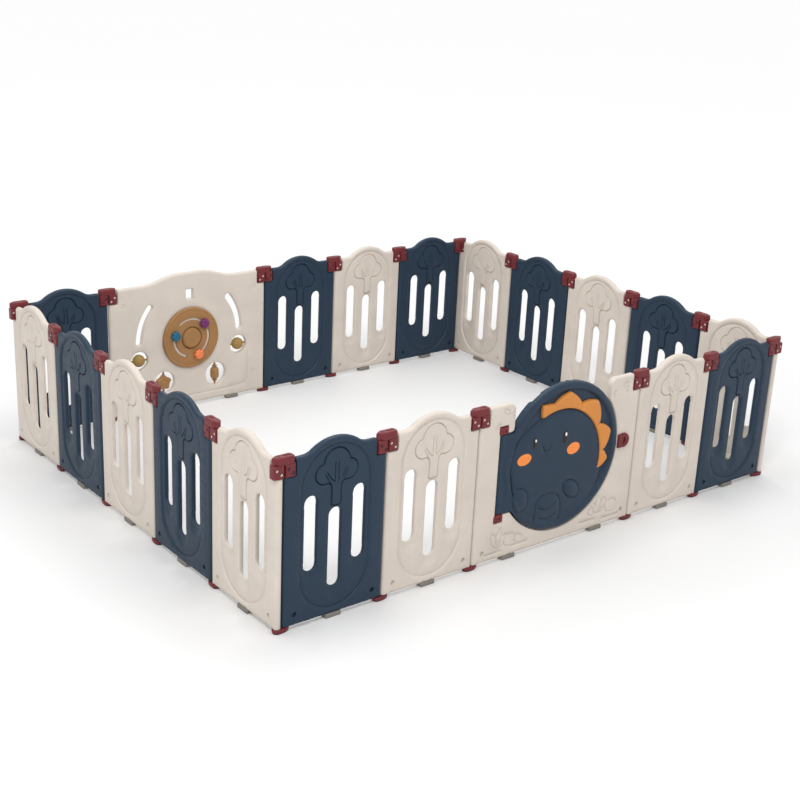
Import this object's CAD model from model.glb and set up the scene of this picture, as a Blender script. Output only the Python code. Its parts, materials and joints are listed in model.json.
"""Looks of a folding playpen: relief panels, two-pin hinges, a round gate door and a toy panel.
Shapes are worked out in millimetres in each panel's own frame, where the outside faces -Y."""
import json
import math

import bmesh
import bpy
import numpy as np
from mathutils import Matrix, Vector
from mathutils.geometry import delaunay_2d_cdt


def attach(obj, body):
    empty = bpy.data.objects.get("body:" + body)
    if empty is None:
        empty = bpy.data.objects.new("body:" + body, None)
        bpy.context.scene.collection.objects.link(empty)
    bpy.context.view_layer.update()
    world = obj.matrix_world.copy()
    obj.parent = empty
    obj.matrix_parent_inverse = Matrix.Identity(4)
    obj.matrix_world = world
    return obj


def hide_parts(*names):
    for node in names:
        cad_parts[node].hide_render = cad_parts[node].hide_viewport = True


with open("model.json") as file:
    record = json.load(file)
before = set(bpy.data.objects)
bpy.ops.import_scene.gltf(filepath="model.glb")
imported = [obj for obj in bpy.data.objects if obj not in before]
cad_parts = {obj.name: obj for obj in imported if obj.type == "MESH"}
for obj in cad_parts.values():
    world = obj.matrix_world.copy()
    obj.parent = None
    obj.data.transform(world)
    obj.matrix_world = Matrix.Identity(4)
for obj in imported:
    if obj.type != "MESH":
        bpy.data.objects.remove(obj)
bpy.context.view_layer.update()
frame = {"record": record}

MM = 0.001
CENTRE_Y = -2.5
PITCH = 380.0
PIN = 14.0
HALF_T = 12.5
BASE = 16.0
SHOULDER = BASE + 550
ARCH_R = 150.0
ARCH_Z = BASE + 438
NOTCH = 28.5
NOTCH_Z = BASE + 494
EAR_BOTTOM, EAR_TOP, BAR_TOP = BASE + 496, BASE + 538, BASE + 563
CORNER_X = 3 * PITCH
FRONT_Y = 2.5 * PITCH - PIN
SIDE_X = CORNER_X + PIN
BOTTOM_ROUND, SIDE_ROUND, TOP_ROUND = 3.5, 3.0, 9.0  # rounding of a panel's edges
SOCKET_DEPTH = 7.5
ROUND_STEPS = (0.076, 0.293, 0.617, 1.0)  # where a quarter round is sampled, as shares of its radius

BODY_OF = {
    node: body
    for body, nodes in frame["record"]["behaviour"]["bodies"].items()
    for node in nodes
}
scene = bpy.context.scene


# Camera, light and floor
def set_camera():
    yaw, pitch, roll = (math.radians(v) for v in (51.973, -19.906, 2.309))
    forward = Vector((
        math.cos(pitch) * math.cos(yaw),
        math.cos(pitch) * math.sin(yaw),
        math.sin(pitch),
    ))
    right = forward.cross(Vector((0, 0, 1))).normalized()
    up = right.cross(forward)
    tilted_right = right * math.cos(roll) + up * math.sin(roll)
    tilted_up = up * math.cos(roll) - right * math.sin(roll)
    focal, frame_px, centre_px = 1355.4, 800, 376.4
    data = bpy.data.cameras.new("camera")
    data.sensor_width = 36
    data.lens = focal / frame_px * data.sensor_width
    data.shift_x = (frame_px / 2 - centre_px) / frame_px
    data.clip_end = 300
    camera = bpy.data.objects.new("camera", data)
    scene.collection.objects.link(camera)
    turn = Matrix((tilted_right, tilted_up, -forward)).transposed().to_4x4()
    camera.matrix_world = Matrix.Translation((-3.171, -3.965, 2.079)) @ turn
    scene.camera = camera


def area_light(name, place, target, size, watts):
    data = bpy.data.lights.new(name, "AREA")
    data.shape = "DISK"
    data.size = size
    data.energy = watts
    light = bpy.data.objects.new(name, data)
    scene.collection.objects.link(light)
    light.location = place
    light.rotation_euler = (Vector(target) - Vector(place)).to_track_quat("-Z", "Y").to_euler()


def set_stage():
    world = bpy.data.worlds.new("studio")
    scene.world = world
    world.use_nodes = True
    background = world.node_tree.nodes["Background"]
    background.inputs["Color"].default_value = (1.0, 1.0, 1.0, 1)
    background.inputs["Strength"].default_value = 1.0
    area_light("key", (-3.6, -3.4, 5.4), (0, 0, 0.2), 1.8, 150)
    area_light("back_light", (2.2, 3.6, 5.0), (0, 0, 0.3), 2.5, 30)
    area_light("inner_fill", (0, -0.3, 3.2), (-0.2, 0.9, 0.2), 1.4, 26)
    half = 90
    data = bpy.data.meshes.new("floor")
    data.from_pydata([(-half, -half, 0), (half, -half, 0), (half, half, 0), (-half, half, 0)], [],
                     [(0, 1, 2, 3)])
    floor = bpy.data.objects.new("floor", data)
    scene.collection.objects.link(floor)
    paint = bpy.data.materials.new("floor_paint")
    paint.use_nodes = True
    shader = paint.node_tree.nodes["Principled BSDF"]
    new, link = paint.node_tree.nodes.new, paint.node_tree.links.new
    reach = new("ShaderNodeVectorMath")
    reach.operation = "LENGTH"
    link(new("ShaderNodeTexCoord").outputs["Object"], reach.inputs[0])
    pale = new("ShaderNodeMapRange")
    pale.interpolation_type = "SMOOTHSTEP"
    for key, value in zip(("From Min", "From Max", "To Min", "To Max"), (1.5, 5.0, 0.76, 0.99)):
        pale.inputs[key].default_value = value
    link(reach.outputs["Value"], pale.inputs["Value"])
    link(pale.outputs["Result"], shader.inputs["Base Color"])
    shader.inputs["Roughness"].default_value = 0.55
    shader.inputs["Specular IOR Level"].default_value = 0.25
    data.materials.append(paint)
    scene.view_settings.view_transform = "Standard"


# Materials
def plastic(name, colour, rough, grain=1.0, worn=0.05, soft=0.0, shine=0.3):
    """Moulded plastic: faint mottling, a fine pebble grain, slow waviness and paler worn edges."""
    material = bpy.data.materials.new(name)
    material.use_nodes = True
    tree = material.node_tree
    new, link = tree.nodes.new, tree.links.new
    shader = tree.nodes["Principled BSDF"]
    place = new("ShaderNodeTexCoord").outputs["Object"]

    def noise(scale, detail, roughness=0.5):
        node = new("ShaderNodeTexNoise")
        node.inputs["Scale"].default_value = scale
        node.inputs["Detail"].default_value = detail
        node.inputs["Roughness"].default_value = roughness
        link(place, node.inputs["Vector"])
        return node.outputs["Fac"]

    def ranged(source, low, high, to_low, to_high):
        node = new("ShaderNodeMapRange")
        for key, value in zip(("From Min", "From Max", "To Min", "To Max"),
                              (low, high, to_low, to_high)):
            node.inputs[key].default_value = value
        link(source, node.inputs["Value"])
        return node.outputs["Result"]

    def mixed(factor, a, b):
        node = new("ShaderNodeMix")
        node.data_type = "RGBA"
        link(factor, node.inputs["Factor"])
        for socket, value in ((node.inputs[6], a), (node.inputs[7], b)):
            if isinstance(value, tuple):
                socket.default_value = (*value, 1)
            else:
                link(value, socket)
        return node.outputs[2]

    darker = tuple(v * 0.90 for v in colour)
    paler = tuple(v + (1 - v) * worn for v in colour)
    mottled = mixed(ranged(noise(9, 4), 0.3, 0.7, 0, 1), colour, darker)
    edges = ranged(new("ShaderNodeNewGeometry").outputs["Pointiness"], 0.56, 0.70, 0, 1)
    broken = new("ShaderNodeMath")
    broken.operation = "MULTIPLY"
    link(edges, broken.inputs[0])
    link(ranged(noise(60, 5, 0.7), 0.35, 0.65, 0.3, 1), broken.inputs[1])
    link(mixed(broken.outputs[0], mottled, paler), shader.inputs["Base Color"])
    link(ranged(noise(35, 6, 0.65), 0.3, 0.7, rough - 0.05, rough + 0.07),
         shader.inputs["Roughness"])
    pebble = new("ShaderNodeBump")
    pebble.inputs["Strength"].default_value = 0.22 * grain
    pebble.inputs["Distance"].default_value = 0.0004
    link(noise(1100, 2), pebble.inputs["Height"])
    wave = new("ShaderNodeBump")
    wave.inputs["Strength"].default_value = 0.35
    wave.inputs["Distance"].default_value = 0.0018
    link(noise(11, 2), wave.inputs["Height"])
    link(wave.outputs["Normal"], pebble.inputs["Normal"])
    link(pebble.outputs["Normal"], shader.inputs["Normal"])
    shader.inputs["Specular IOR Level"].default_value = shine
    if soft:
        shader.inputs["Subsurface Weight"].default_value = soft
        shader.inputs["Subsurface Radius"].default_value = (0.006, 0.005, 0.004)
        shader.inputs["Subsurface Scale"].default_value = 1.0
    return material


PAINT = {
    "cream_plastic": plastic("cream_plastic", (0.610, 0.545, 0.480), 0.46, worn=0.03, soft=0.08),
    "navy_plastic": plastic("navy_plastic", (0.016, 0.034, 0.060), 0.42, worn=0.06, shine=0.24),
    "maroon_plastic": plastic("maroon_plastic", (0.150, 0.021, 0.025), 0.42, worn=0.10, shine=0.25),
    "orange_plastic": plastic("orange_plastic", (0.60, 0.225, 0.042), 0.45),
    "black_print": plastic("black_print", (0.010, 0.010, 0.012), 0.16, grain=0.2, worn=0.02),
    "cheek_print": plastic("cheek_print", (0.86, 0.25, 0.05), 0.45, grain=0.5),
    "ochre_plastic": plastic("ochre_plastic", (0.32, 0.165, 0.060), 0.48),
    "olive_plastic": plastic("olive_plastic", (0.30, 0.19, 0.055), 0.42),
    "purple_plastic": plastic("purple_plastic", (0.15, 0.022, 0.13), 0.42),
    "teal_plastic": plastic("teal_plastic", (0.009, 0.115, 0.195), 0.42),
    "coral_plastic": plastic("coral_plastic", (0.80, 0.21, 0.075), 0.45),
}
GLINT = plastic("eye_glint", (0.90, 0.90, 0.90), 0.3, grain=0.2, worn=0.0)
RUBBER = plastic("grey_rubber", (0.20, 0.185, 0.165), 0.6, grain=1.6)
BLACK_RUBBER = plastic("black_rubber", (0.028, 0.026, 0.026), 0.7, grain=2.0)


# Plane geometry on (n, 2) arrays
def arc(x, z, r, start, end, step=6.0):
    """Points on an arc, angles in degrees."""
    count = max(3, int(abs(math.radians(end - start)) * r / step) + 1)
    a = np.radians(np.linspace(start, end, count + 1))
    return np.stack([x + r * np.cos(a), z + r * np.sin(a)], 1)


def oval(x, z, half_width, half_height, tilt=0.0, count=40):
    a = np.linspace(0, 2 * math.pi, count, endpoint=False)
    u, v = half_width * np.cos(a), half_height * np.sin(a)
    c, s = math.cos(tilt), math.sin(tilt)
    return np.stack([x + u * c - v * s, z + u * s + v * c], 1)


def dense(points, step=6.0, closed=True):
    """Splits long sides, keeping every corner."""
    points = np.asarray(points, float)
    ends = np.roll(points, -1, 0) if closed else points[1:]
    starts = points if closed else points[:-1]
    made = []
    for a, b in zip(starts, ends):
        length = np.hypot(*(b - a))
        if length < 1e-6:
            continue
        count = max(1, int(math.ceil(length / step)))
        made.append(a + (b - a) * (np.arange(count) / count)[:, None])
    if not closed:
        made.append(points[-1:])
    return np.concatenate(made)


def smooth_loop(points, step=6.0, closed=True, rounds=3):
    """Corner cutting turns a few points into a flowing line."""
    p = np.asarray(points, float)
    for _ in range(rounds):
        nxt = np.roll(p, -1, 0) if closed else p[1:]
        cur = p if closed else p[:-1]
        cutpts = np.stack([cur * 0.75 + nxt * 0.25, cur * 0.25 + nxt * 0.75], 1).reshape(-1, 2)
        p = cutpts if closed else np.concatenate([p[:1], cutpts, p[-1:]])
    return dense(p, step, closed)


def segments(line, closed):
    return (line, np.roll(line, -1, 0)) if closed else (line[:-1], line[1:])


def distance(points, line, closed=True):
    a, b = segments(line, closed)
    d = b - a
    length2 = np.maximum((d * d).sum(1), 1e-9)
    out = np.empty(len(points))
    for i in range(0, len(points), 1500):
        rel = points[i:i + 1500, None] - a[None]
        t = np.clip((rel * d).sum(2) / length2, 0, 1)
        gap = rel - t[..., None] * d
        out[i:i + 1500] = np.sqrt((gap * gap).sum(2).min(1))
    return out


def inside(points, loop):
    a, b = segments(loop, True)
    x, z = points[:, 0][:, None], points[:, 1][:, None]
    crosses = (a[:, 1] > z) != (b[:, 1] > z)
    slope = (b[:, 0] - a[:, 0]) / np.where(b[:, 1] == a[:, 1], 1e-9, b[:, 1] - a[:, 1])
    return ((crosses & (x < a[:, 0] + slope * (z - a[:, 1]))).sum(1) % 2).astype(bool)


def signed(points, loop):
    """Distance to a loop, positive inside it."""
    d = distance(points, loop)
    return np.where(inside(points, loop), d, -d)


def ease(t):
    t = np.clip(t, 0, 1)
    return t * t * (3 - 2 * t)


def quarter_round(d, r):
    """How far a rounded edge of radius r drops at distance d from the edge."""
    t = np.clip(r - d, 0, r)
    return r - np.sqrt(np.maximum(r * r - t * t, 0))


def groove(points, line, width, depth, closed=True):
    d = distance(points, line, closed)
    return depth * (1 - ease(d / (width / 2)))


def offset(line, by, closed=True):
    """A line moved sideways, to its left."""
    if closed:
        along = np.roll(line, -1, 0) - np.roll(line, 1, 0)
    else:
        along = np.gradient(line, axis=0)
    along /= np.maximum(np.hypot(*along.T), 1e-9)[:, None]
    return line + by * np.stack([-along[:, 1], along[:, 0]], 1)


def area(loop):
    x, z = loop.T
    return 0.5 * float((x * np.roll(z, -1) - np.roll(x, -1) * z).sum())


def far_from(points, others, gap):
    if not len(others) or not len(points):
        return points
    keep = np.empty(len(points), bool)
    for i in range(0, len(points), 800):
        rel = points[i:i + 800, None] - others[None]
        keep[i:i + 800] = (rel * rel).sum(2).min(1) > gap * gap
    return points[keep]


def thinned(points, cell):
    if not len(points):
        return points
    _, first = np.unique(np.round(points / cell).astype(int), axis=0, return_index=True)
    return points[np.sort(first)]


# Meshes
def plate(name, loops, edges, lines, front, back, step=11.0):
    """A plate between two height fields. loops are its outline and its holes, edges (line, closed,
    radius) are the borders that get rounded, lines (line, closed, width) are the engraved ones, and
    front and back give y at (x, z)."""
    loops = [lp if (area(lp) > 0) == (i == 0) else lp[::-1] for i, lp in enumerate(loops)]
    border = np.concatenate(loops)

    def within(p, gap):
        if not len(p):
            return p
        p = p[inside(p, loops[0])]
        for hole in loops[1:]:
            p = p[~inside(p, hole)]
        near = np.full(len(p), np.inf)
        for lp in loops:
            near = np.minimum(near, distance(p, lp))
        return p[near >= gap]

    taken = border
    for line, closed, radius in edges:
        for share in ROUND_STEPS:
            by = share * radius
            both = np.concatenate([offset(line, by, closed), offset(line, -by, closed)])
            new = far_from(thinned(within(both, 0.93 * by), 0.8), taken, max(0.45, 0.25 * by))
            taken = np.concatenate([taken, new])
    for line, closed, width in lines:
        for share in (0, 0.5, -0.5, 0.95, -0.95) if width > 0.1 else (0,):
            side = offset(line, share * width, closed)
            new = far_from(thinned(within(side, 0.6), 0.7), taken, 0.6)
            taken = np.concatenate([taken, new])
    low, high = loops[0].min(0), loops[0].max(0)
    xs = np.arange(low[0], high[0] + step, step)
    zs = np.arange(low[1], high[1] + step, step * 0.866)
    grid = np.array([(x + (step / 2 if j % 2 else 0), z) for j, z in enumerate(zs) for x in xs])
    taken = np.concatenate([taken, far_from(within(grid, 0.45 * step), taken, 0.55 * step)])

    fixed, start = [], 0
    for lp in loops:
        fixed += [(start + i, start + (i + 1) % len(lp)) for i in range(len(lp))]
        start += len(lp)
    flat, _, faces, from_verts, _, _ = delaunay_2d_cdt(
        [Vector(p) for p in taken], fixed, [], 0, 1e-4)
    flat = np.array([(v[0], v[1]) for v in flat])
    where = {old: new for new, olds in enumerate(from_verts) for old in olds}
    tri = np.array([f[:] for f in faces if len(f) == 3])
    middle = flat[tri].mean(1)
    keep = inside(middle, loops[0])
    for hole in loops[1:]:
        keep &= ~inside(middle, hole)
    tri = tri[keep]
    a, b, c = flat[tri[:, 0]], flat[tri[:, 1]], flat[tri[:, 2]]
    turn = (b[:, 0] - a[:, 0]) * (c[:, 1] - a[:, 1]) - (b[:, 1] - a[:, 1]) * (c[:, 0] - a[:, 0])
    tri = tri[np.abs(turn) > 1e-7]
    turn = turn[np.abs(turn) > 1e-7]
    tri[turn < 0] = tri[turn < 0][:, ::-1]

    count = len(flat)
    y_front, y_back = front(flat), back(flat)
    middle_y = (y_front + y_back) / 2
    thin = y_back - y_front < 0.4
    y_front = np.where(thin, middle_y - 0.2, y_front)
    y_back = np.where(thin, middle_y + 0.2, y_back)
    verts = np.concatenate([
        np.stack([flat[:, 0], y_front, flat[:, 1]], 1),
        np.stack([flat[:, 0], y_back, flat[:, 1]], 1),
    ])
    polygons = [tuple(t) for t in tri] + [tuple(t) for t in tri[:, ::-1] + count]
    for i, j in fixed:
        p, q = where[i], where[j]
        if p != q:
            polygons.append((p, p + count, q + count, q))
    used = np.zeros(2 * count, bool)
    for poly in polygons:
        used[list(poly)] = True
    renumber = np.cumsum(used) - 1
    mesh = bpy.data.meshes.new(name)
    mesh.from_pydata([tuple(v) for v in verts[used] * MM], [],
                     [tuple(int(renumber[i]) for i in poly) for poly in polygons])
    return finished(mesh)


def finished(mesh, angle=55):
    mesh.update()
    mesh.shade_smooth()
    mesh.set_sharp_from_angle(angle=math.radians(angle))
    return mesh


def prism(name, outline, z0, z1, bevel, steps=3):
    """An (x, y) outline carried from z0 to z1, with rounded edges."""
    bm = bmesh.new()
    base = [bm.verts.new((x * MM, y * MM, z0 * MM)) for x, y in outline]
    face = bm.faces.new(base)
    made = bmesh.ops.extrude_face_region(bm, geom=[face])["geom"]
    moved = [v for v in made if isinstance(v, bmesh.types.BMVert)]
    bmesh.ops.translate(bm, verts=moved, vec=(0, 0, (z1 - z0) * MM))
    bmesh.ops.recalc_face_normals(bm, faces=bm.faces)
    sharp = [e for e in bm.edges if e.calc_face_angle(0) > math.radians(25)]
    bmesh.ops.bevel(bm, geom=sharp, offset=bevel * MM, segments=steps, profile=0.5,
                    affect="EDGES", clamp_overlap=True)
    mesh = bpy.data.meshes.new(name)
    bm.to_mesh(mesh)
    bm.free()
    return finished(mesh)


def lathe(name, profile, sides=32, ripple=None):
    """Profile points (radius, height) turned about Z; ripple(angle, radius) scales the radius."""
    bm = bmesh.new()
    rings = []
    for r, z in profile:
        if r < 1e-6:
            rings.append([bm.verts.new((0, 0, z * MM))])
            continue
        ring = []
        for i in range(sides):
            a = 2 * math.pi * i / sides
            s = r * (ripple(a, r) if ripple else 1)
            ring.append(bm.verts.new((s * math.cos(a) * MM, s * math.sin(a) * MM, z * MM)))
        rings.append(ring)
    for low, high in zip(rings[:-1], rings[1:]):
        for i in range(sides):
            j = (i + 1) % sides
            if len(low) == 1:
                bm.faces.new((low[0], high[i], high[j]))
            elif len(high) == 1:
                bm.faces.new((low[i], low[j], high[0]))
            else:
                bm.faces.new((low[i], low[j], high[j], high[i]))
    bmesh.ops.recalc_face_normals(bm, faces=bm.faces)
    mesh = bpy.data.meshes.new(name)
    bm.to_mesh(mesh)
    bm.free()
    return finished(mesh)


def joined(name, parts):
    """One mesh from (mesh, matrix) pairs."""
    bm = bmesh.new()
    for mesh, matrix in parts:
        held = mesh.copy()
        held.transform(matrix)
        bm.from_mesh(held)
        bpy.data.meshes.remove(held)
    made = bpy.data.meshes.new(name)
    bm.to_mesh(made)
    bm.free()
    return finished(made)


SAME = Matrix.Identity(4)
FLAT = Matrix.Rotation(math.radians(-90), 4, "X")  # a plate's front (-Y) turns to face up
INWARD = Matrix.Rotation(math.radians(-90), 4, "X")  # a lathe's axis (+Z) turns to +Y


def shift(x=0.0, y=0.0, z=0.0):
    return Matrix.Translation((x * MM, y * MM, z * MM))


def at(x, y, turn=0):
    return shift(x, y + CENTRE_Y) @ Matrix.Rotation(math.radians(turn), 4, "Z")


def piece(name, mesh, paint, matrix, node):
    """Shows mesh for a CAD node, riding on that node's body."""
    material = paint if isinstance(paint, bpy.types.Material) else PAINT[paint]
    if not mesh.materials:
        mesh.materials.append(material)
    elif mesh.materials[0] is not material:
        mesh = mesh.copy()
        mesh.materials[0] = material
    obj = bpy.data.objects.new(name, mesh)
    scene.collection.objects.link(obj)
    obj.matrix_world = matrix
    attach(obj, BODY_OF[node])
    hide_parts(node)
    return obj


# Panels
def end_lines(half, step):
    """Upright lines that follow the rounding of a panel's two ends."""
    pins = half - PIN
    return [
        (dense([(s * (pins + d), BASE + 1), (s * (pins + d), NOTCH_Z - 1)], step, False), False, 0)
        for s in (-1, 1) for d in (0.0, 4.5, 8.0, 10.3, 11.6)
    ]


def half_thickness(x, half):
    pins = half - PIN
    over = np.clip(np.abs(x) - pins, 0, HALF_T)
    return np.sqrt(np.maximum(HALF_T ** 2 - over ** 2, 0))


def lower_outline(half):
    """The feet of the outline: right side up to the notch, as seen from outside."""
    end, notch = half - PIN + HALF_T, half - PIN - NOTCH
    return end, notch


def straight_edges(half, top_z):
    """The bottom edge, then the steps and ledges of the two notches."""
    end, notch = lower_outline(half)
    bottom = dense([(-end, BASE), (end, BASE)], 14, False)
    steps = [dense([(s * notch, NOTCH_Z), (s * notch, top_z)], 8, False) for s in (-1, 1)]
    ledges = [dense([(s * end, NOTCH_Z), (s * notch, NOTCH_Z)], 8, False) for s in (-1, 1)]
    return bottom, steps + ledges


def straight_rounding(p, bottom, sides):
    edge = quarter_round(distance(p, bottom, False), BOTTOM_ROUND)
    for line in sides:
        edge = np.maximum(edge, quarter_round(distance(p, line, False), SIDE_ROUND))
    return edge


def depth_of(inset):
    """Half of the thickness left at each point, worked out once for both faces."""
    known = {}

    def depth(p):
        if len(p) not in known:
            known[len(p)] = inset(p)
        return HALF_T - known[len(p)]

    return depth


def peg_hollows(x):
    """Round sockets near the lower corners, at x on both sides."""
    return [oval(s * x, BASE + 36, 8.5, 8.5, count=20) for s in (-1, 1)]


def tree_lines():
    """A three-lobed tree on a short trunk, with its boughs."""
    z = BASE
    left = arc(-45, z + 475, 33, 285, 95, 4)
    top = arc(0, z + 504, 48, 175.3, 4.7, 4)
    right = arc(45, z + 475, 33, 85, -105, 4)
    trunk_left = [(-26, z + 441), (-19, z + 432), (-17, z + 415), (-18, z + 369)]
    outline = np.concatenate([
        left, top, right,
        [(-x, zz) for x, zz in trunk_left],
        [(9, z + 365), (-9, z + 365)],
        trunk_left[::-1],
    ])
    boughs = [
        [(-17, z + 431), (-27, z + 446), (-40, z + 470)],
        [(-33, z + 474), (-18, z + 452), (-7, z + 444), (-6, z + 502)],
        [(6, z + 502), (7, z + 444), (20, z + 454), (32, z + 478)],
        [(39, z + 473), (27, z + 447), (17, z + 431)],
    ]
    return dense(outline, 5), [dense(b, 5, False) for b in boughs]


def axis_distance(points, x, z0, z1):
    z = np.clip(points[:, 1], z0, z1)
    return np.hypot(points[:, 0] - x, points[:, 1] - z)


def dish(points, x, z, r, z_top, depth):
    """A spoon-shaped hollow that runs up from its round lower end."""
    d = axis_distance(points, x, z, z_top)
    fade = ease((z_top + 0.6 * r - points[:, 1]) / (1.4 * r))
    return depth * (1 - ease((d / r) ** 2.4)) * fade


def single_panel():
    half = PITCH / 2
    end, notch = lower_outline(half)
    rise = SHOULDER - ARCH_Z
    reach = math.sqrt(ARCH_R ** 2 - rise ** 2)
    angle = math.degrees(math.atan2(rise + 6, reach - 6))
    arch = arc(0, ARCH_Z, ARCH_R, angle, 180 - angle)
    blend = [(reach + 16, SHOULDER), (reach + 8, SHOULDER + 1), (reach + 2, SHOULDER + 3)]
    top = np.concatenate([
        [(notch, SHOULDER)], blend, arch, [(-x, z) for x, z in blend[::-1]], [(-notch, SHOULDER)],
    ])
    outline = dense(np.concatenate([
        [(-end, BASE), (end, BASE), (end, NOTCH_Z), (notch, NOTCH_Z)], top, [(-notch, NOTCH_Z),
                                                                        (-end, NOTCH_Z)],
    ]), 9)
    top = dense(top, 7, False)
    bottom, sides = straight_edges(PITCH / 2, SHOULDER)
    slots = [(-90, 164, 414), (0, 91, 357), (90, 164, 414)]
    slot_r = 24.0
    holes = []
    for x, low, high in slots:
        z0, z1 = BASE + low + slot_r, BASE + high - slot_r
        holes.append(dense(np.concatenate([
            arc(x, z1, slot_r, 0, 180, 7), arc(x, z0, slot_r, 180, 360, 7)]), 12))
    field_r, field_low, field_high = 128, BASE + 21 + 128, BASE + 566 - 128
    field = dense(np.concatenate([
        arc(0, field_high, field_r, 0, 180, 7), arc(0, field_low, field_r, 180, 360, 7)]), 8)
    crown, boughs = tree_lines()
    pegs = peg_hollows(148)
    creases = [dense([(s * 160, BASE + 6), (s * 160, NOTCH_Z - 6)], 14, False) for s in (-1, 1)]

    def inset(p):
        x = p[:, 0]
        edge = straight_rounding(p, bottom, sides)
        edge = np.maximum(edge, quarter_round(distance(p, top, False), TOP_ROUND))
        for hole in holes:
            edge = np.maximum(edge, quarter_round(distance(p, hole), 3))
        relief = 3.0 * ease((field_r - axis_distance(p, 0, field_low, field_high)) / 1.8)
        relief += groove(p, field, 5.0, 3.0)
        relief += groove(p, crown, 5.6, 4.4)
        relief -= 2.0 * ease(signed(p, crown) / 3)
        for bough in boughs:
            relief += groove(p, bough, 5.0, 3.4, False)
        for cx, low, high in slots:
            relief += dish(p, cx, BASE + low - 2, 38, BASE + low + 12, 7.0)
            relief += 1.6 * (1 - ease((axis_distance(p, cx, BASE + low + slot_r,
                                                     BASE + high - slot_r) - slot_r) / 11))
        for peg in pegs:
            relief += SOCKET_DEPTH * ease(signed(p, peg) / 1.2)
        relief += 0.7 * ease((np.abs(x) - 158) / 4) * (np.abs(x) < 189)
        top_band = distance(p, top, False)
        relief += 0.8 * ease((top_band - 10) / 2.5) * ease((40 - top_band) / 25)
        blend_in = ease(distance(p, outline) / 6)
        return np.maximum(edge, HALF_T - half_thickness(x, half)) + relief * blend_in

    lines = end_lines(half, 9)
    lines += [(crown, True, 2.8), (field, True, 2.5)] + [(b, False, 2.5) for b in boughs]
    lines += [(peg, True, 1.4) for peg in pegs] + [(c, False, 2.5) for c in creases]
    lines += [(dense(offset(h, 8 if area(h) < 0 else -8), 12), True, 3.5) for h in holes]
    edges = [(top, False, TOP_ROUND), (bottom, False, BOTTOM_ROUND)]
    edges += [(line, False, SIDE_ROUND) for line in sides] + [(h, True, 3) for h in holes]
    depth = depth_of(inset)
    return plate("single_panel", [outline, *holes], edges, lines,
                 lambda p: -depth(p), depth)


def leaf(x, z, length, width, degrees):
    t = np.linspace(0, 1, 9)
    side = width / 2 * np.sin(math.pi * t) ** 0.8
    u = np.concatenate([t * length, (t * length)[::-1][1:-1]])
    v = np.concatenate([side, -side[::-1][1:-1]])
    a = math.radians(degrees)
    return np.stack([x + u * math.cos(a) - v * math.sin(a), z + u * math.sin(a) + v * math.cos(a)], 1)


DISC = (5.0, BASE + 317)
OPENING_R = 274.0
STOP_R = 262.0
TAB_X, TAB_LOW, TAB_HIGH, TAB_GAP = -274.5, BASE + 165, BASE + 451, 5.0
CLIP_W, CLIP_H = 38.0, 27.0


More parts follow.
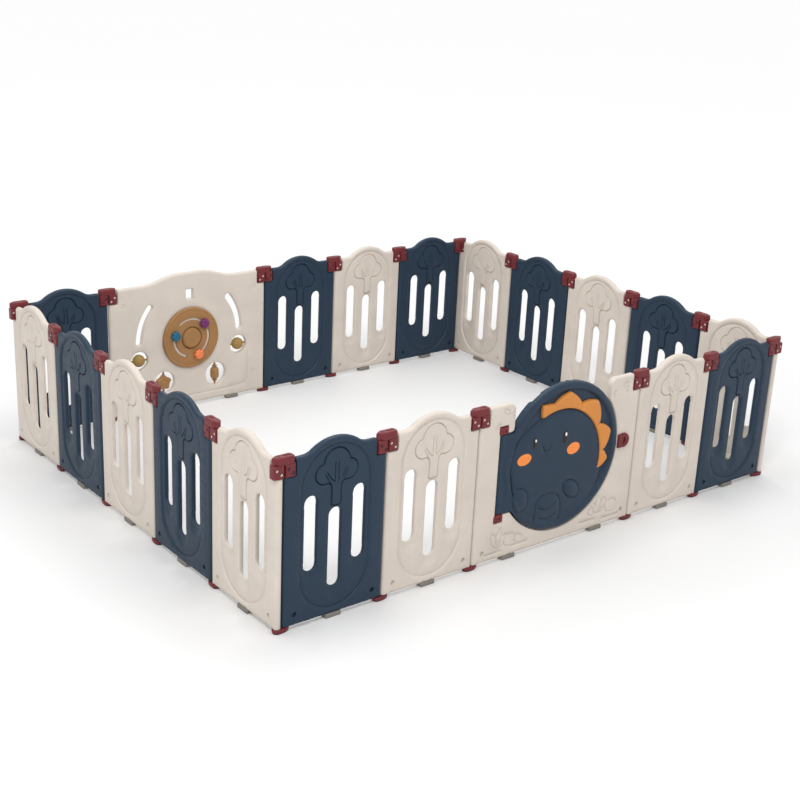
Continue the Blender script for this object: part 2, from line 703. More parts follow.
def gate_frame():
    end, notch = lower_outline(PITCH)
    dx, dz = DISC
    top, corner, inner = BASE + 557, 26, 226

    def sill(x):
        z = dz + math.sqrt(OPENING_R ** 2 - (x - dx) ** 2)
        return z, math.degrees(math.atan2(z - dz, x - dx))

    zr, ar = sill(inner)
    zl, al = sill(-inner)
    edge_x = TAB_X - 16.5
    pocket_x = TAB_X - 20
    out_x = TAB_X + 20
    hi_in, hi_out = TAB_HIGH + TAB_GAP, TAB_HIGH + TAB_GAP + CLIP_H + 1
    lo_in, lo_out = TAB_LOW - TAB_GAP, TAB_LOW - TAB_GAP - CLIP_H - 1
    x_low, x_high = (dx - math.sqrt(OPENING_R ** 2 - (z - dz) ** 2) for z in (lo_in, hi_in))
    a_low, a_high = (math.degrees(math.atan2(z - dz, x - dx))
                     for z, x in ((lo_in, x_low), (hi_in, x_high)))
    right_arc = arc(dx, dz, OPENING_R, ar, a_low, 8)
    left_arc = arc(dx, dz, OPENING_R, a_high, al, 8)
    pocket = [
        (x_low, lo_in), (out_x, lo_in), (out_x, lo_out), (pocket_x, lo_out), (pocket_x, lo_in),
        (edge_x, lo_in), (edge_x, hi_in), (pocket_x, hi_in), (pocket_x, hi_out),
        (out_x, hi_out), (out_x, hi_in), (x_high, hi_in),
    ]
    rim_top = np.concatenate([
        [(notch, top)],
        arc(inner + corner, top - corner, corner, 90, 180, 5),
        [(inner, zr)],
    ])
    rim_left = np.concatenate([
        [(-inner, zl)],
        arc(-inner - corner, top - corner, corner, 0, 90, 5),
        [(-notch, top)],
    ])
    upper = dense(np.concatenate([rim_top, right_arc]), 8, False)
    lower = dense(np.concatenate([left_arc, rim_left]), 8, False)
    outline = dense(np.concatenate([
        [(-end, BASE), (end, BASE), (end, NOTCH_Z), (notch, NOTCH_Z)],
        rim_top, right_arc, pocket[1:-1], left_arc, rim_left, [(-notch, NOTCH_Z), (-end, NOTCH_Z)],
    ]), 10)
    bottom, sides = straight_edges(PITCH, top)
    pocket_line = dense(pocket, 8, False)
    pegs = peg_hollows(338)
    ground = [dense([(a, z), (b, z + 1)], 8, False) for a, b, z in
              ((-322, -252, 39), (-206, -136, 47), (131, 198, 47), (245, 321, 39))]
    plants = [
        leaf(-272, 52, 62, 24, 112), leaf(-268, 52, 70, 26, 84), leaf(-264, 52, 58, 22, 56),
        oval(-215, 74, 26, 21, 0.2, 26), oval(-172, 68, 18, 14, -0.2, 22),
        leaf(228, 66, 60, 24, 68), leaf(222, 66, 66, 26, 96), leaf(216, 66, 54, 22, 128),
        oval(282, 82, 30, 24, -0.1, 28), oval(185, 78, 16, 13, 0.2, 20),
        leaf(-252, 540, 34, 14, 150), leaf(-228, 524, 26, 12, 100), leaf(-306, 492, 28, 12, 40),
        leaf(286, 534, 34, 14, 20), leaf(316, 510, 26, 12, 110), leaf(246, 504, 24, 11, 70),
        oval(216, 538, 5, 5, count=12),
    ]

    def inset(p):
        x = p[:, 0]
        edge = straight_rounding(p, bottom, sides)
        for line, r in ((upper, 5), (lower, 5), (pocket_line, 1.6)):
            edge = np.maximum(edge, quarter_round(distance(p, line, False), r))
        relief = np.zeros(len(p))
        for peg in pegs:
            relief += SOCKET_DEPTH * ease(signed(p, peg) / 1.2)
        for line in ground:
            relief += groove(p, line, 6.5, 3.6, False)
        for plant in plants:
            relief += groove(p, plant, 4.0, 2.0) - 1.2 * ease(signed(p, plant) / 3)
        relief += 0.7 * ease((np.abs(x) - 350) / 4)
        return np.maximum(edge, HALF_T - half_thickness(x, PITCH)) + relief * ease(
            distance(p, outline) / 5)

    lines = end_lines(PITCH, 10) + [(peg, True, 1.4) for peg in pegs]
    lines += [(line, False, 3.2) for line in ground] + [(plant, True, 2.0) for plant in plants]
    edges = [(bottom, False, BOTTOM_ROUND), (upper, False, 5), (lower, False, 5)]
    edges.append((pocket_line, False, 1.6))
    edges += [(line, False, SIDE_ROUND) for line in sides]
    depth = depth_of(inset)
    return plate("gate_frame", [outline], edges, lines, lambda p: -depth(p), depth, 14)


def stop_lip(start, end):
    """Part of the lip behind the door that it closes against."""
    outline = dense(np.concatenate([
        arc(*DISC, STOP_R, start, end, 7), arc(*DISC, OPENING_R + 1.5, end, start, 7)]), 7)

    def rounding(p):
        return quarter_round(distance(p, outline), 2)

    return plate("stop_lip", [outline], [(outline, True, 2)], [],
                 lambda p: 6.8 + rounding(p), lambda p: HALF_T - rounding(p), 6)


def activity_panel():
    end, notch = lower_outline(PITCH)
    shoulder, crown = SHOULDER + 4, SHOULDER + 37
    t = np.linspace(0, 1, 14)[:, None]

    def curve(a, b, c, d):
        a, b, c, d = map(np.array, (a, b, c, d))
        return (1 - t) ** 3 * a + 3 * (1 - t) ** 2 * t * b + 3 * (1 - t) * t ** 2 * c + t ** 3 * d

    right = curve((226, shoulder), (154, shoulder), (124, crown), (52, crown))
    top = np.concatenate([
        [(notch, shoulder)], right, (right * [-1, 1])[::-1], [(-notch, shoulder)],
    ])
    outline = dense(np.concatenate([
        [(-end, BASE), (end, BASE), (end, NOTCH_Z), (notch, NOTCH_Z)],
        top, [(-notch, NOTCH_Z), (-end, NOTCH_Z)],
    ]), 10)
    top = dense(top, 8, False)
    bottom, sides = straight_edges(PITCH, shoulder)
    wz = WHEEL_Z
    window = dense([(-17.5, BASE + 470), (17.5, BASE + 470), (17.5, BASE + 513),
                    (-17.5, BASE + 513)], 6)

    def curved_slot(a, b):
        ends = [(245 * math.cos(math.radians(v)), wz + 245 * math.sin(math.radians(v)))
                for v in (a, b)]
        return dense(np.concatenate([
            arc(0, wz, 259, a, b, 8), arc(*ends[1], 14, b, b + 180, 5)[1:-1],
            arc(0, wz, 231, b, a, 8), arc(*ends[0], 14, a + 180, a + 360, 5)[1:-1],
        ]), 10)

    holes = [window, curved_slot(3, 39), curved_slot(141, 177)]
    holes += [oval(s * 243, BASE + 230, 40, 40, count=44) for s in (-1, 1)]
    holes += [oval(s * 127, BASE + 113, 50, 50, count=52) for s in (-1, 1)]
    bosses = [oval(s * 318, z, 8, 8, count=18) for s in (-1, 1) for z in (BASE + 480, BASE + 92)]
    border = smooth_loop([(-292, 210), (-292, 78), (-268, 52), (268, 52), (292, 78), (292, 210)],
                         8, False)
    seat = oval(0, wz, 139, 139, count=90)

    def inset(p):
        x = p[:, 0]
        edge = straight_rounding(p, bottom, sides)
        edge = np.maximum(edge, quarter_round(distance(p, top, False), TOP_ROUND))
        for hole in holes:
            edge = np.maximum(edge, quarter_round(distance(p, hole), 5))
        relief = np.zeros(len(p))
        for boss in bosses:
            relief += groove(p, boss, 3, 1.2)
        relief += groove(p, border, 6, 1.8, False)
        for hole in holes[1:]:
            relief += 1.4 * (1 - ease(distance(p, hole) / 12))
        relief += 0.7 * ease((np.abs(x) - 350) / 4)
        return np.maximum(edge, HALF_T - half_thickness(x, PITCH)) + relief * ease(
            distance(p, outline) / 5)

    lines = end_lines(PITCH, 10) + [(boss, True, 1.6) for boss in bosses]
    lines += [(border, False, 3.0), (seat, True, 2.0)]
    edges = [(bottom, False, BOTTOM_ROUND), (top, False, TOP_ROUND)]
    edges += [(line, False, SIDE_ROUND) for line in sides] + [(h, True, 5) for h in holes]
    depth = depth_of(inset)
    def inner(p):
        return depth(p) - 0.9 * ease(signed(p, seat) / 2)

    return plate("activity_panel", [outline, *holes], edges, lines, lambda p: -depth(p), inner, 14)


# Gate door
BODY_LINE = [
    (-108, 492), (-162, 460), (-208, 428), (-232, 390), (-236, 330), (-218, 268), (-212, 220),
    (-196, 165), (-158, 112), (-100, 84), (-20, 76), (60, 84), (130, 106), (170, 142), (200, 190),
    (212, 250), (205, 320), (186, 385), (150, 440), (90, 485), (20, 508), (-50, 510),
]


def bump(points, x, z, half_width, half_height, tilt, height):
    c, s = math.cos(tilt), math.sin(tilt)
    dx, dz = points[:, 0] - x, points[:, 1] - z
    u, v = (dx * c + dz * s) / half_width, (-dx * s + dz * c) / half_height
    return height * np.sqrt(np.maximum(1 - u * u - v * v, 0))


def door_height():
    body = smooth_loop(BODY_LINE, 9)
    belly = smooth_loop([(-112, 120), (-110, 180), (-84, 206), (-30, 208), (5, 186), (14, 140),
                         (12, 96)], 7, False)
    stripes = [smooth_loop(s, 6, False) for s in (
        [(-90, 160), (-72, 150), (-40, 151), (-20, 165)],
        [(-84, 122), (-64, 112), (-34, 113), (-12, 127)])]
    limbs = [oval(-184, 213, 35, 45, 0.35, 40), oval(60, 200, 45, 29, -0.75, 40)]
    smile = smooth_loop([(-94, 390), (-88, 375), (-76, 369), (-63, 375), (-57, 389)], 4, False)

    def front(p):
        x, z = p.T
        rho = np.hypot(x - DISC[0], z - DISC[1])
        rise = ease((rho - 237) / 11)
        y = -9 - 11 * rise
        y = np.where(rho > 256, -20 + quarter_round(270 - rho, 13.5), y)
        swell = signed(p, body)
        full = np.sqrt(np.maximum(1 - (1 - np.clip(swell / 46, 0, 1)) ** 2, 0))
        y = y - 8.6 * full * (1 - rise) + groove(p, body, 5, 1.6) * (1 - rise)
        y = y - bump(p, -184, 213, 34, 44, 0.35, 8.5) - bump(p, 60, 200, 44, 28, -0.75, 8.0)
        for limb in limbs:
            y = y + groove(p, limb, 5, 1.8)
        y = y - bump(p, -222, 398, 12, 15, 0.3, 4.0) - bump(p, -50, 140, 66, 74, 0.0, 2.6)
        y = y + groove(p, belly, 7, 3.0, False) + groove(p, smile, 4.6, 2.8, False)
        for stripe in stripes:
            y = y + groove(p, stripe, 7, 3.0, False)
        tab_face = -HALF_T - 3.0 * ease((x + 262) / 8)
        return np.where((rho > 268) & (x < -150), tab_face, y)

    return front, [(body, True, 4), (belly, False, 3), (smile, False, 2.3)] + [
        (stripe, False, 3) for stripe in stripes] + [(limb, True, 2.5) for limb in limbs]


def gate_door():
    dx, dz = DISC
    low, high = TAB_LOW, TAB_HIGH
    end_x = TAB_X - HALF_T
    a_high = math.degrees(math.asin((high - dz) / 270))
    a_low = math.degrees(math.asin((low - dz) / 270))
    outline = dense(np.concatenate([
        arc(dx, dz, 270, -(180 + a_low), 180 - a_high, 9),
        [(TAB_X + 10, high), (end_x, high), (end_x, low), (TAB_X + 10, low)],
    ]), 9)
    rim = arc(dx, dz, 270, -(180 + a_low), 180 - a_high, 9)
    tab_ends = [dense([(end_x, z), (-232, z)], 8, False) for z in (low, high)]
    front_field, lines = door_height()
    ring_in = oval(dx, dz, 238, 238, count=120)
    ring_top = oval(dx, dz, 248, 248, count=120)
    back_ring = oval(dx, dz, 222, 222, count=110)
    crease = dense([(-262, low + 6), (-262, high - 6)], 10, False)
    pivots = [dense([(TAB_X - d, low), (TAB_X - d, high)], 14, False) for d in (0, 4.5, 8, 10.5, 12)]

    def over_tab(p):
        return np.where(p[:, 0] < TAB_X, HALF_T - np.sqrt(np.maximum(
            HALF_T ** 2 - (p[:, 0] - TAB_X) ** 2, 0)), 0)

    def front(p):
        y = front_field(p)
        on_tab = np.hypot(p[:, 0] - dx, p[:, 1] - dz) > 268
        round_off = np.zeros(len(p))
        for line in tab_ends:
            round_off = np.maximum(round_off, quarter_round(distance(p, line, False), 3))
        return np.where(on_tab & (p[:, 0] < -150), y + np.maximum(over_tab(p), round_off), y)

    def back(p):
        rho = np.hypot(p[:, 0] - dx, p[:, 1] - dz)
        y = 6 - quarter_round(270 - rho, 7) * (rho < 270)
        y = y - 2.6 * ease((222 - rho) / 8)
        flap = (rho > 262) & (p[:, 0] < -150)
        round_off = np.zeros(len(p))
        for line in tab_ends:
            round_off = np.maximum(round_off, quarter_round(distance(p, line, False), 3))
        return np.where(flap, 10 - np.maximum(over_tab(p) - 2.5, round_off), y)

    lines = lines + [(ring_in, True, 3.5), (ring_top, True, 3.5), (back_ring, True, 3.5),
                     (crease, False, 3)] + [(line, False, 0) for line in pivots]
    edges = [(rim, False, 13.5)] + [(line, False, 3) for line in tab_ends]
    return plate("gate_door", [outline], edges, lines, front, back, 11)


def crest():
    cx, cz = -20.0, DISC[1] - 31
    tips = [(110, 254), (82, 269), (50, 274), (19, 267), (-4, 249)]
    valleys = [(97, 236), (65, 233), (32, 227), (4, 226)]
    start, end = (114, 211), (-14, 213)

    def point(degrees, r):
        a = math.radians(degrees)
        return np.array([cx + r * math.cos(a), cz + r * math.sin(a)])

    def curve(a, b, c):
        t = np.linspace(0, 1, 9)[:, None]
        return ((1 - t) ** 2 * a + 2 * (1 - t) * t * b + t ** 2 * c)[:-1]

    line = []
    for i, tip in enumerate(tips):
        before = valleys[i - 1] if i else start
        after = valleys[i] if i < len(valleys) else end
        near, far = [point(v[0] * 0.6 + tip[0] * 0.4, tip[1] - 12) for v in (before, after)]
        line += [curve(point(*before), near, point(*tip)), curve(point(*tip), far, point(*after))]
    scallops = np.concatenate(line)
    inner = arc(cx, cz, 209, end[0], start[0], 8)[:-1]
    outline = dense(np.concatenate([scallops, inner]), 6)
    ribs = [dense([point(a, r - 3), point(a - 1, 217)], 6, False) for a, r in valleys]

    def front(p):
        y = -22.5 + quarter_round(distance(p, outline), 7)
        rho = np.hypot(p[:, 0] - cx, p[:, 1] - cz)
        y = y - 1.8 * ease((rho - 212) / 30)
        for rib in ribs:
            y = y + groove(p, rib, 17, 3.4, False)
        return y

    return plate("door_crest", [outline], [(outline, True, 7)], [(r, False, 7) for r in ribs],
                 front, lambda p: np.full(len(p), -9.4), 8)


def dome(name, x, z, half_width, half_height, tilt, seat, height, edge=0.6):
    """A low oval button that swells from its seat towards the outside."""
    outline = oval(x, z, half_width, half_height, tilt, 44)
    reach = min(half_width, half_height)

    def front(p):
        d = np.clip(distance(p, outline) / reach, 0, 1)
        return seat - edge - (height - edge) * np.sqrt(np.maximum(1 - (1 - d) ** 2, 0))

    return plate(name, [outline], [(outline, True, reach * 0.6)], [], front,
                 lambda p: np.full(len(p), seat + 1.2), 4)


def door_clip(side):
    low = TAB_HIGH + TAB_GAP - 3 if side > 0 else TAB_LOW - TAB_GAP + 3 - CLIP_H
    z0, z1 = low, low + CLIP_H
    x0, x1 = TAB_X - CLIP_W / 2, TAB_X + CLIP_W / 2
    outline = dense([(x0, z0), (x1, z0), (x1, z1), (x0, z1)], 4)
    hole = oval(TAB_X + 5, (z0 + z1) / 2, 3.6, 3.6, count=16)
    mark = oval(TAB_X - 9, (z0 + z1) / 2, 2.6, 2.6, count=12)
    slit = dense([(x0 + 5, z0 + 6), (x1 - 5, z0 + 6)], 4, False)

    def inset(p):
        y = quarter_round(distance(p, outline), 3.5) + 4 * ease(signed(p, mark))
        return y + groove(p, slit, 3, 1.4, False)

    return plate("door_clip", [outline, hole], [(outline, True, 3.5), (hole, True, 1.2)],
                 [(mark, True, 1), (slit, False, 1.6)],
                 lambda p: -15 + inset(p), lambda p: 15 - inset(p), 5)


def door_latch():
    z, r, flat, centre = BASE + 314, 27.0, 281.0, 309.0
    outline = dense(np.concatenate([
        [(flat, z - r + 2)], arc(centre, z, r, -90, 90, 4), [(flat, z + r - 2)]]), 4)
    grip = oval(centre - 1, z, 7.5, 14, -0.15, 26)
    rib = oval(centre - 1, z, 13, 20, -0.15, 34)

    def front(p):
        y = -HALF_T - 9.4 + quarter_round(distance(p, outline), 5)
        return y + 7.6 * ease(signed(p, grip) / 2) + groove(p, rib, 3, 1.2)

    return plate("door_latch", [outline], [(outline, True, 5)], [(grip, True, 1.6), (rib, True, 1.5)],
                 front, lambda p: np.full(len(p), -HALF_T - 0.4), 5)


# Hinges
def cap_spots(side):
    """Where the two caps of an ear sit; side is -1 or 1."""
    return [(side * 20 - 8, EAR_BOTTOM + 28), (side * 20 + 8, EAR_BOTTOM + 13)]


def bracket():
    width, reach = 15.5, 37.0
    parts = []
    for s in (-1, 1):
        x0, x1 = sorted((s * 3.0, s * reach))
        outline = dense([(x0, EAR_BOTTOM), (x1, EAR_BOTTOM), (x1, EAR_TOP + 1), (x0, EAR_TOP + 1)], 5)
        holes = [oval(x, z, 5.2, 5.2, count=20) for x, z in cap_spots(s)]

        def inset(p, outline=outline):
            return quarter_round(distance(p, outline), 3.5)

        ear = plate("ear", [outline, *holes],
                    [(outline, True, 3.5)] + [(h, True, 0.8) for h in holes], [],
                    lambda p, f=inset: f(p) - width, lambda p, f=inset: width - f(p), 6)
        parts.append((ear, SAME))
    bar_line = dense([
        (reach, -8), (reach, 8), (reach - 7, width), (-18, width), (-reach, 3), (-reach, -3),
        (-18, -width), (reach - 7, -width)], 4)
    slit = dense([(4, 0), (25, 0)], 4, False)
    lip = dense([(-15, -9), (-15, 9)], 4, False)

    def top(p):
        y = -(BAR_TOP - EAR_TOP) + quarter_round(distance(p, bar_line), 4.5)
        return y + groove(p, slit, 6, 6.0, False) + groove(p, lip, 4, 1.4, False)

    def bottom(p):
        return -quarter_round(distance(p, bar_line), 2.5)

    bar = plate("bar", [bar_line], [(bar_line, True, 4.5)], [(slit, False, 3), (lip, False, 2)],
                top, bottom, 5)
    parts.append((bar, shift(z=EAR_TOP) @ FLAT))
    return joined("bracket", parts)


def ear_caps(side):
    """The two round caps that show on both faces of an ear."""
    profile = [(0, -14.6), (3.6, -14.5), (4.9, -13.4), (4.9, 13.4), (3.6, 14.5), (0, 14.6)]
    cap = lathe("cap", profile, 20)
    return joined("ear_caps", [(cap, shift(x, 0, z) @ INWARD) for x, z in cap_spots(side)])


def foot_outline(grow=0.0):
    """A boat-shaped sole, round at one end and pointed at the other."""
    round_end = arc(-13, 0, 15 + grow, 90, 270, 5)
    point = [(8, -14 - grow), (20, -10 - grow), (31 + grow, -2.5), (31 + grow, 2.5),
             (20, 10 + grow), (8, 14 + grow)]
    return np.concatenate([round_end, point])


def foot():
    return prism("foot", foot_outline(), 3.0, 14.5, 3.2, 4)


def foot_pad():
    return prism("foot_pad", foot_outline(-2.2), 0.0, 3.4, 0.8, 2)


def rods():
    r, top = 2.8, EAR_BOTTOM + 2
    rod = [(0, 14), (r, 14), (r, top), (0, top)]
    mesh = lathe("rod", rod, 14)
    return joined("rods", [(mesh, shift(-PIN)), (mesh, shift(PIN))])


def panel_pad():
    """A rubber block with grip ribs across it."""
    body = prism("pad_body", [(-29, -13), (29, -13), (29, 13), (-29, 13)], 0, BASE - 0.2, 2.4, 3)
    rib = prism("pad_rib", [(-1.8, -13.4), (1.8, -13.4), (1.8, 13.4), (-1.8, 13.4)], 1.2, 13, 0.8, 2)
    return joined("panel_pad", [(body, SAME)] + [(rib, shift(x)) for x in (-22, -11, 0, 11, 22)])


# Toys
WHEEL_Z = BASE + 300
WHEEL_FRONT = 25.0
KNOB_ANGLES = (135, 14, -112)  # each knob waits at one end of its own curved track
TRACK_R, TRACK_HALF, TRACK_SWEEP = 83.0, 5.5, 84


def track_line(start):
    """The curved slot that a knob slides along, from its resting end."""
    a, b = start - TRACK_SWEEP, start
    low, high = (
        (TRACK_R * math.cos(math.radians(v)), WHEEL_Z + TRACK_R * math.sin(math.radians(v)))
        for v in (a, b)
    )
    return dense(np.concatenate([
        arc(0, WHEEL_Z, TRACK_R + TRACK_HALF, a, b, 6), arc(*high, TRACK_HALF, b, b + 180, 3)[1:-1],
        arc(0, WHEEL_Z, TRACK_R - TRACK_HALF, b, a, 6),
        arc(*low, TRACK_HALF, a + 180, a + 360, 3)[1:-1]]), 7)


def track_floor(start):
    """The pale strip at the bottom of a knob's slot."""
    outline = offset(track_line(start), 0.35)

    def face(p):
        return 20.5 - quarter_round(distance(p, outline), 1.2)

    return plate("track_floor", [outline], [(outline, True, 1.2)], [],
                 lambda p: np.full(len(p), 13.2), face, 5)


def turntable():
    outline = oval(0, WHEEL_Z, 134, 134, count=110)
    tracks = [track_line(start) for start in KNOB_ANGLES]
    moat = oval(0, WHEEL_Z, 47, 47, count=60)
    ring = oval(0, WHEEL_Z, 120, 120, count=80)

    def face(p):
        y = WHEEL_FRONT - quarter_round(distance(p, outline), 5) - groove(p, moat, 7, 7.0)
        y = y - groove(p, ring, 3.4, 0.8)
        for track in tracks:
            y = y - quarter_round(distance(p, track), 1.6)
        return y

    return plate("turntable", [outline, *tracks],
                 [(outline, True, 5)] + [(t, True, 1.6) for t in tracks],
                 [(moat, True, 3.5), (ring, True, 1.7)],
                 lambda p: np.full(len(p), 13.2), face, 9)


def turned(mesh, x, y, z):
    """Stands a lathe's axis along +Y at a place on the panel."""
    return joined(mesh.name + "_set", [(mesh, shift(x, y, z) @ INWARD)])


def hub():
    profile = [(0, 0.4), (41, 0.4), (43, 1.2), (43, 3.2), (41, 5.2), (36, 6.4), (30, 6.8),
               (24, 6.2), (20, 6.2), (14, 7.4), (0, 8.0)]
    return turned(lathe("hub", profile, 48), 0, WHEEL_FRONT, WHEEL_Z)


def knob(degrees):
    a = math.radians(degrees)
    x, z = TRACK_R * math.cos(a), WHEEL_Z + TRACK_R * math.sin(a)

    def petals(angle, r):
        strength = 0.18 if r > 12 else 0.06
        return 1 - strength * 0.5 + strength * 0.5 * math.cos(8 * angle)

    profile = [(0, 0.8), (19, 0.8), (21.5, 2.5), (22.8, 5.5), (22.8, 12), (21, 15.5), (17.5, 18),
               (13, 19.2), (9, 18.2), (5, 18.8), (0, 19.4)]
    head = lathe("knob_head", profile, 64, petals)
    stem = lathe("knob_stem", [(0, -4), (4, -4), (4, 1.2), (0, 1.2)], 16)
    both = joined("knob", [(head, SAME), (stem, SAME)])
    return turned(both, x, WHEEL_FRONT, z)


def globe():
    """A ribbed ball on a level axle."""
    steps = 18
    profile = []
    for i in range(steps + 1):
        a = math.pi * i / steps
        r = 27 * math.sin(a)
        h = -27 * math.cos(a)
        profile.append((max(r, 0.0) * (1 - 0.035 * (i % 3 == 0)), h))
    profile[0] = (0, -27)
    profile[-1] = (0, 27)
    ball = lathe("ball", profile, 40, lambda a, r: 1 - 0.03 * max(0, math.cos(10 * a)) ** 6)
    tip = [(0, -46), (3, -46), (3, -36), (4.6, -34), (4.6, -28), (3, -25), (3, 25), (4.6, 28),
           (4.6, 34), (3, 36), (3, 46), (0, 46)]
    axle = lathe("ball_axle", tip, 16)
    level = Matrix.Rotation(math.radians(90), 4, "Y")
    return joined("globe", [(ball, level), (axle, level)])


def toy_axle():
    return lathe("toy_axle", [(0, -56), (3, -56), (3, -44), (5.2, -42), (5.2, -36), (3, -33),
                              (3, 33), (5.2, 36), (5.2, 42), (3, 44), (3, 56), (0, 56)], 16)


def star():
    corners = []
    for i in range(10):
        a = math.pi / 2 + i * math.pi / 5
        r = 27 if i % 2 else 40
        corners.append((r * math.cos(a), r * math.sin(a)))
    outline = smooth_loop(corners, 3.5, True, 2)
    line = oval(0, 0, 15, 15, count=30)

    def swell(p):
        return 11.5 - quarter_round(distance(p, outline), 7) - groove(p, line, 3.4, 1.2)

    body = plate("star_body", [outline], [(outline, True, 7)], [(line, True, 1.7)],
                 lambda p: -swell(p), swell, 5)
    return joined("star", [(body, SAME), (toy_axle(), SAME)])


def drum():
    half = [(19.5, 0), (19.5, 10), (18.5, 17), (15.5, 22), (9, 25.5), (8, 27.5), (10, 30), (12, 32),
            (11, 34), (0, 34)]
    profile = [(r, -z) for r, z in half[:0:-1]] + half
    body = lathe("drum_body", profile, 40, lambda a, r: 1 + 0.035 * math.cos(6 * a))
    return joined("drum", [(body, SAME), (toy_axle(), SAME)])


# Assembly
def pin_cell(matrix, x):
    """A pin's place in the plan, to the nearest 5 mm."""
    place = matrix @ Vector((x * MM, 0, 0))
    return round(place.x * 200), round(place.y * 200)


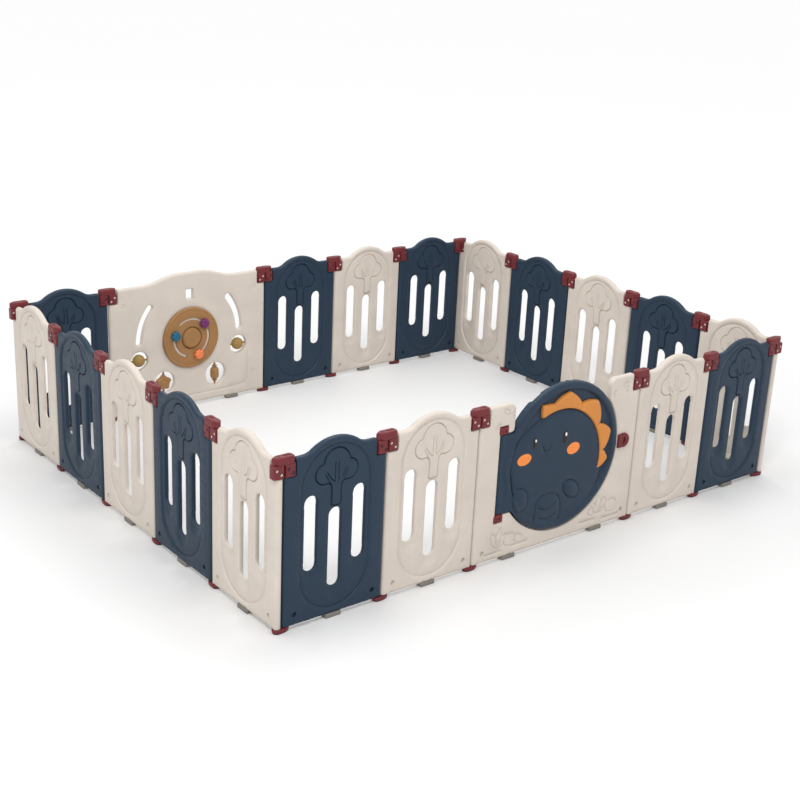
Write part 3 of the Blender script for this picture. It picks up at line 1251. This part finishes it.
def build():
    single = {"cream_plastic": single_panel()}
    single["navy_plastic"] = single["cream_plastic"].copy()
    pad = panel_pad()
    spots = []
    for i, n in enumerate((-2.5, -1.5, 1.5, 2.5)):
        spots.append((f"front_panel_{i + 1}", i % 3 == 0, at(n * PITCH, -FRONT_Y)))
    for i, n in enumerate((-2, -1, 0, 1, 2)):
        spots.append((f"right_panel_{i + 1}", i % 2 == 1, at(SIDE_X, n * PITCH, 90)))
        spots.append((f"left_panel_{i + 1}", i % 2 == 1, at(-SIDE_X, -n * PITCH, 270)))
    for i, n in enumerate((2.5, 1.5, 0.5, -2.5)):
        spots.append((f"back_panel_{i + 1}", i != 1, at(n * PITCH, FRONT_Y, 180)))
    for node, is_navy, matrix in spots:
        paint = "navy_plastic" if is_navy else "cream_plastic"
        piece(node + "_shell", single[paint], paint, matrix, node)
        piece(node + "_pad", pad, RUBBER, matrix, node)

    parts = {"bracket": (bracket(), "maroon_plastic"), "rods": (rods(), "maroon_plastic"),
             "foot": (foot(), "maroon_plastic"), "sole": (foot_pad(), BLACK_RUBBER)}
    hinges = []
    for i, n in enumerate((-2, -1, 1, 2)):
        hinges.append((f"front_hinge_{i + 1}", at(n * PITCH, -FRONT_Y)))
    for i, n in enumerate((-1.5, -0.5, 0.5, 1.5)):
        hinges.append((f"right_hinge_{i + 1}", at(SIDE_X, n * PITCH, 90)))
        hinges.append((f"left_hinge_{i + 1}", at(-SIDE_X, -n * PITCH, 90)))
    for i, n in enumerate((2, 1, 0, -2)):
        hinges.append((f"back_hinge_{i + 1}", at(n * PITCH, FRONT_Y, 180)))
    hinges += [
        ("front_left_corner_hinge", at(-CORNER_X, -FRONT_Y)),
        ("front_right_corner_hinge", at(CORNER_X, -FRONT_Y, 180)),
        ("back_right_corner_hinge", at(CORNER_X, FRONT_Y, 180)),
        ("back_left_corner_hinge", at(-CORNER_X, FRONT_Y)),
    ]
    skin_at = {}
    doubles = [(at(0, -FRONT_Y), PITCH), (at(-PITCH, FRONT_Y), PITCH)]
    ends = [(matrix, PITCH / 2, is_navy) for _, is_navy, matrix in spots]
    for matrix, half, is_navy in ends + [(m, h, False) for m, h in doubles]:
        for s in (-1, 1):
            skin_at[pin_cell(matrix, s * (half - PIN))] = (
                "navy_plastic" if is_navy else "cream_plastic")
    caps = {s: {"cream_plastic": ear_caps(s)} for s in (-1, 1)}
    for s in caps:
        caps[s]["navy_plastic"] = caps[s]["cream_plastic"].copy()
    for node, matrix in hinges:
        for s, side in ((-1, "near"), (1, "far")):
            skin = skin_at[pin_cell(matrix, s * PIN)]
            piece(f"{node}_caps_{side}", caps[s][skin], skin, matrix, node)
        for part, (mesh, paint) in parts.items():
            piece(f"{node}_{part}", mesh, paint, matrix, node)

    gate = at(0, -FRONT_Y)
    piece("gate_frame_shell", gate_frame(), "cream_plastic", gate, "gate_frame")
    for side, x in (("left", -212), ("right", 212)):
        piece(f"gate_frame_pad_{side}", pad, RUBBER, gate @ shift(x), "gate_frame")
    for name, start, end in (("long", 35.4, -143.8), ("short", 144.3, 148.6)):
        piece(f"gate_frame_stop_{name}", stop_lip(start, end), "cream_plastic", gate, "gate_frame")
    piece("gate_door_shell", gate_door(), "navy_plastic", gate, "gate_door")
    piece("door_crest_shell", crest(), "orange_plastic", gate, "door_crest")
    for name, side in (("door_hinge_clip_upper", 1), ("door_hinge_clip_lower", -1)):
        piece(name + "_shell", door_clip(side), "maroon_plastic", gate, name)
    piece("door_latch_shell", door_latch(), "maroon_plastic", gate, "door_latch")
    face = [
        ("door_eye_left", -133, 412, 12, 20, 0.0, "black_print", 3.2),
        ("door_eye_right", 11, 404, 14, 26, 0.0, "black_print", 3.2),
        ("door_cheek_left", -177, 360, 32, 21, 0.06, "cheek_print", 1.2),
        ("door_cheek_right", 54, 354, 31, 22, 0.06, "cheek_print", 1.2),
    ]
    for name, x, z, w, h, tilt, paint, height in face:
        mesh = dome(name, x, z, w, h, tilt, -16.9, height)
        piece(name + "_dome", mesh, paint, gate, name)
    for name, x, z, w, h in (("door_eye_left", -132, 420, 3.2, 5.5),
                             ("door_eye_right", 11, 415, 4.0, 7.0)):
        piece(name + "_glint", dome(name + "_glint", x, z, w, h, 0.1, -19.6, 0.9, 0.4), GLINT,
              gate, name)

    inside_face = at(-PITCH, FRONT_Y, 180)
    piece("activity_panel_shell", activity_panel(), "cream_plastic", inside_face, "activity_panel")
    for side, x in (("left", 212), ("right", -212)):
        piece(f"activity_panel_pad_{side}", pad, RUBBER, inside_face @ shift(x), "activity_panel")
    piece("turntable_disc", turntable(), "ochre_plastic", inside_face, "turntable")
    for i, start in enumerate(KNOB_ANGLES):
        piece(f"turntable_track_{i + 1}", track_floor(start), "cream_plastic", inside_face,
              "turntable")
    piece("turntable_hub_cap", hub(), "ochre_plastic", inside_face, "turntable_hub")
    for colour, degrees in zip(("purple", "teal", "coral"), KNOB_ANGLES):
        piece(f"{colour}_knob_grip", knob(degrees), f"{colour}_plastic", inside_face,
              f"{colour}_knob")
    ball = globe()
    for side, x in (("left", 243), ("right", -243)):
        piece(f"spinning_ball_{side}_globe", ball, "olive_plastic",
              inside_face @ shift(x, 0, BASE + 230), f"spinning_ball_{side}")
    piece("spinning_star_body", star(), "ochre_plastic", inside_face @ shift(127, 0, BASE + 113),
          "spinning_star")
    piece("spinning_drum_body", drum(), "ochre_plastic", inside_face @ shift(-127, 0, BASE + 113),
          "spinning_drum")


set_camera()
set_stage()
build()
